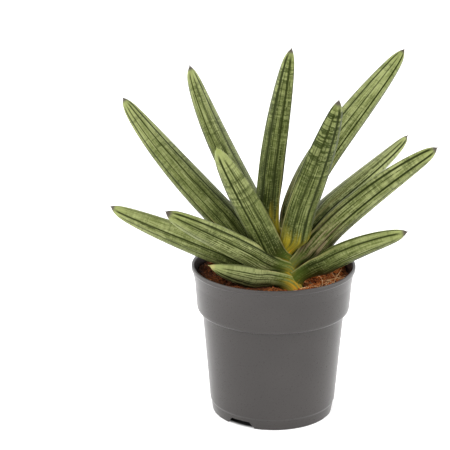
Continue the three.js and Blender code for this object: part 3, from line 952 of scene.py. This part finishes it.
def curled_path(draw, room, x, y, step):
    """A path that curls along the coir's surface from a place, and stops at the wall or under a leaf."""
    way = draw.uniform(0, 2 * math.pi)
    bend = draw.uniform(-0.35, 0.35)
    lift = draw.uniform(0, 1.4)
    path = []
    for i in range(FIBRE_POINTS):
        if math.hypot(x, y) > LITTER_REACH or room(x, y) < coir_level(x, y) + FIBRE_ROOM:
            break
        arch = lift * math.sin(math.pi * i / (FIBRE_POINTS - 1))
        path.append((x, y, coir_surface(x, y) + 0.05 + arch))
        x += step * math.cos(way)
        y += step * math.sin(way)
        way += bend
    return path


def anywhere(draw):
    """A place drawn evenly over the coir."""
    radius = LITTER_REACH * math.sqrt(draw.random())
    angle = draw.uniform(0, 2 * math.pi)
    return radius * math.cos(angle), radius * math.sin(angle)


def build_fibres(room):
    """Fine fibres all over the coir, stouter pale threads on its right, and one that stands up."""
    draw = random.Random(5)
    fibres = [], []
    threads = [], []
    for _ in range(FIBRES):
        path = curled_path(draw, room, *anywhere(draw), draw.uniform(*FIBRE_STEP))
        if len(path) >= LEAST_POINTS:
            add_tube(*fibres, path, draw.uniform(*FIBRE_RADIUS))
    for _ in range(THREADS):
        x, y = draw.uniform(*THREADS_ACROSS), draw.uniform(*THREADS_BACK)
        path = curled_path(draw, room, x, y, draw.uniform(*THREAD_STEP))
        if len(path) >= LEAST_POINTS:
            add_tube(*threads, path, draw.uniform(*THREAD_RADIUS))
    add_tube(*threads, LONE_THREAD, LONE_THREAD_RADIUS)
    add_mesh("coir_fibres", *fibres, coir_look("coir_fibre", FIBRE_BROWNS, 0.1))
    thread_look = coir_look("coir_thread", THREAD_BROWNS, 0.1, with_painted_shade=False)
    add_mesh("coir_threads", *threads, thread_look)


def build_crumbs(room):
    """Small broken lumps of coir pith."""
    draw = random.Random(11)
    points = []
    faces = []
    ball = bmesh.new()
    bmesh.ops.create_icosphere(ball, subdivisions=1, radius=1)
    shape = [corner.co.copy() for corner in ball.verts]
    sides = [tuple(corner.index for corner in side.verts) for side in ball.faces]
    ball.free()
    for _ in range(CRUMBS):
        x, y = anywhere(draw)
        size = draw.uniform(*CRUMB_SIZE)
        if room(x, y) < coir_level(x, y) + CRUMB_ROOM + size:
            continue
        turn = Matrix.Rotation(draw.uniform(0, 6.3), 3, (draw.random(), draw.random(), draw.random() + 0.1))
        stretch = Vector((draw.uniform(0.7, 1.6), draw.uniform(0.6, 1.0), draw.uniform(0.5, 0.9)))
        first = len(points)
        middle = Vector((x, y, coir_surface(x, y) + 0.3 * size))
        for corner in shape:
            rough = 1 + 0.35 * noise.noise(corner * 1.7 + middle)
            points.append(tuple(middle + turn @ (corner * stretch) * size * rough))
        faces += [tuple(first + i for i in side) for side in sides]
    crumbs = add_mesh("coir_crumbs", points, faces, coir_look("coir_crumb", CRUMB_BROWNS, 0.4))


def stem_look():
    look = Look("stem")
    streaks = look.noise(look.scaled(look.place(), 900, 900, 60), 1, 3)
    color = look.blend(look.fade(streaks, 0.35, 0.65), *STEM_GREENS)
    look.set(Base_Color=color, Roughness=look.math("MULTIPLY_ADD", streaks, 0.2, 0.5))
    return look.material


def add_ramp(tree, value, ends, levels):
    """A soft ramp between two levels of a world's light."""
    ramp = tree.nodes.new("ShaderNodeMapRange")
    ramp.interpolation_type = "SMOOTHSTEP"
    tree.links.new(value, ramp.inputs["Value"])
    for name, level in zip(("From Min", "From Max", "To Min", "To Max"), (*ends, *levels)):
        ramp.inputs[name].default_value = level
    return ramp.outputs[0]


def build_floor():
    mesh = bpy.data.meshes.new("floor")
    corners = [(x * FLOOR_SIZE, y * FLOOR_SIZE, 0) for x, y in ((-1, -1), (1, -1), (1, 1), (-1, 1))]
    mesh.from_pydata(corners, [], [(0, 1, 2, 3)])
    floor = bpy.data.objects.new("floor", mesh)
    bpy.context.scene.collection.objects.link(floor)
    look = Look("floor")
    place = look.place()
    # Painted shadow: the floor is dark and does not glow under the pot's foot
    outside_painted_shadow = look.fade(look.from_axis(place), *PAINTED_SHADOW_UNDER_FOOT)
    color = look.blend(look.noise(place, 3, 2), *FLOOR_WHITES)
    look.set(Base_Color=look.blend(outside_painted_shadow, FLOOR_PAINTED_SHADOW, color), Roughness=0.9)
    look.set(Emission_Color=(1.0, 1.0, 1.0, 1.0), Emission_Strength=look.math("MULTIPLY", outside_painted_shadow, 0.15))
    mesh.materials.append(look.material)


def build_world():
    """Soft white light all round: a backdrop that is brighter behind, and bright panels at both sides."""
    world = bpy.data.worlds.new("studio")
    bpy.context.scene.world = world
    world.use_nodes = True
    tree = world.node_tree
    place = tree.nodes.new("ShaderNodeTexCoord")
    parts = tree.nodes.new("ShaderNodeSeparateXYZ")
    tree.links.new(place.outputs["Generated"], parts.inputs[0])
    aside = tree.nodes.new("ShaderNodeMath")
    aside.operation = "ABSOLUTE"
    tree.links.new(parts.outputs["X"], aside.inputs[0])
    backdrop = add_ramp(tree, parts.outputs["Y"], (-0.85, 0.0), (WORLD_FRONT, WORLD_BACK))
    sides = add_ramp(tree, aside.outputs[0], (0.35, 0.85), (0, WORLD_SIDES))
    strength = tree.nodes.new("ShaderNodeMath")
    tree.links.new(backdrop, strength.inputs[0])
    tree.links.new(sides, strength.inputs[1])
    background = tree.nodes["Background"]
    background.inputs["Color"].default_value = (1, 1, 1, 1)
    tree.links.new(strength.outputs[0], background.inputs["Strength"])


def build_lamp():
    lamp = bpy.data.lights.new("softbox", "AREA")
    lamp.shape = "RECTANGLE"
    lamp.size, lamp.size_y = LAMP_SIZE
    lamp.energy = LAMP_WATTS
    softbox = bpy.data.objects.new("softbox", lamp)
    softbox.location = LAMP_PLACE
    way = Vector(LAMP_TARGET) - softbox.location
    softbox.rotation_euler = way.to_track_quat("-Z", "Y").to_euler()
    bpy.context.scene.collection.objects.link(softbox)


def build_camera():
    camera = bpy.data.cameras.new("camera")
    camera.lens = CAMERA_LENS
    camera.sensor_width = CAMERA_SENSOR
    camera.clip_end = 20
    holder = bpy.data.objects.new("camera", camera)
    holder.location = CAMERA_PLACE
    holder.rotation_euler = (math.radians(CAMERA_TURN_DEGREES), 0, 0)
    bpy.context.scene.collection.objects.link(holder)
    bpy.context.scene.camera = holder
    bpy.context.scene.view_settings.view_transform = "Standard"


build_camera()
build_floor()
build_world()
build_lamp()
build_pot()
leaves = [Leaf(name, index).build() for index, name in enumerate(LEAVES)]
room = room_under_leaves(leaves)
build_coir(room)
build_fibres(room)
build_crumbs(room)
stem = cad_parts["stem"]
stem.data.materials.clear()
stem.data.materials.append(stem_look())
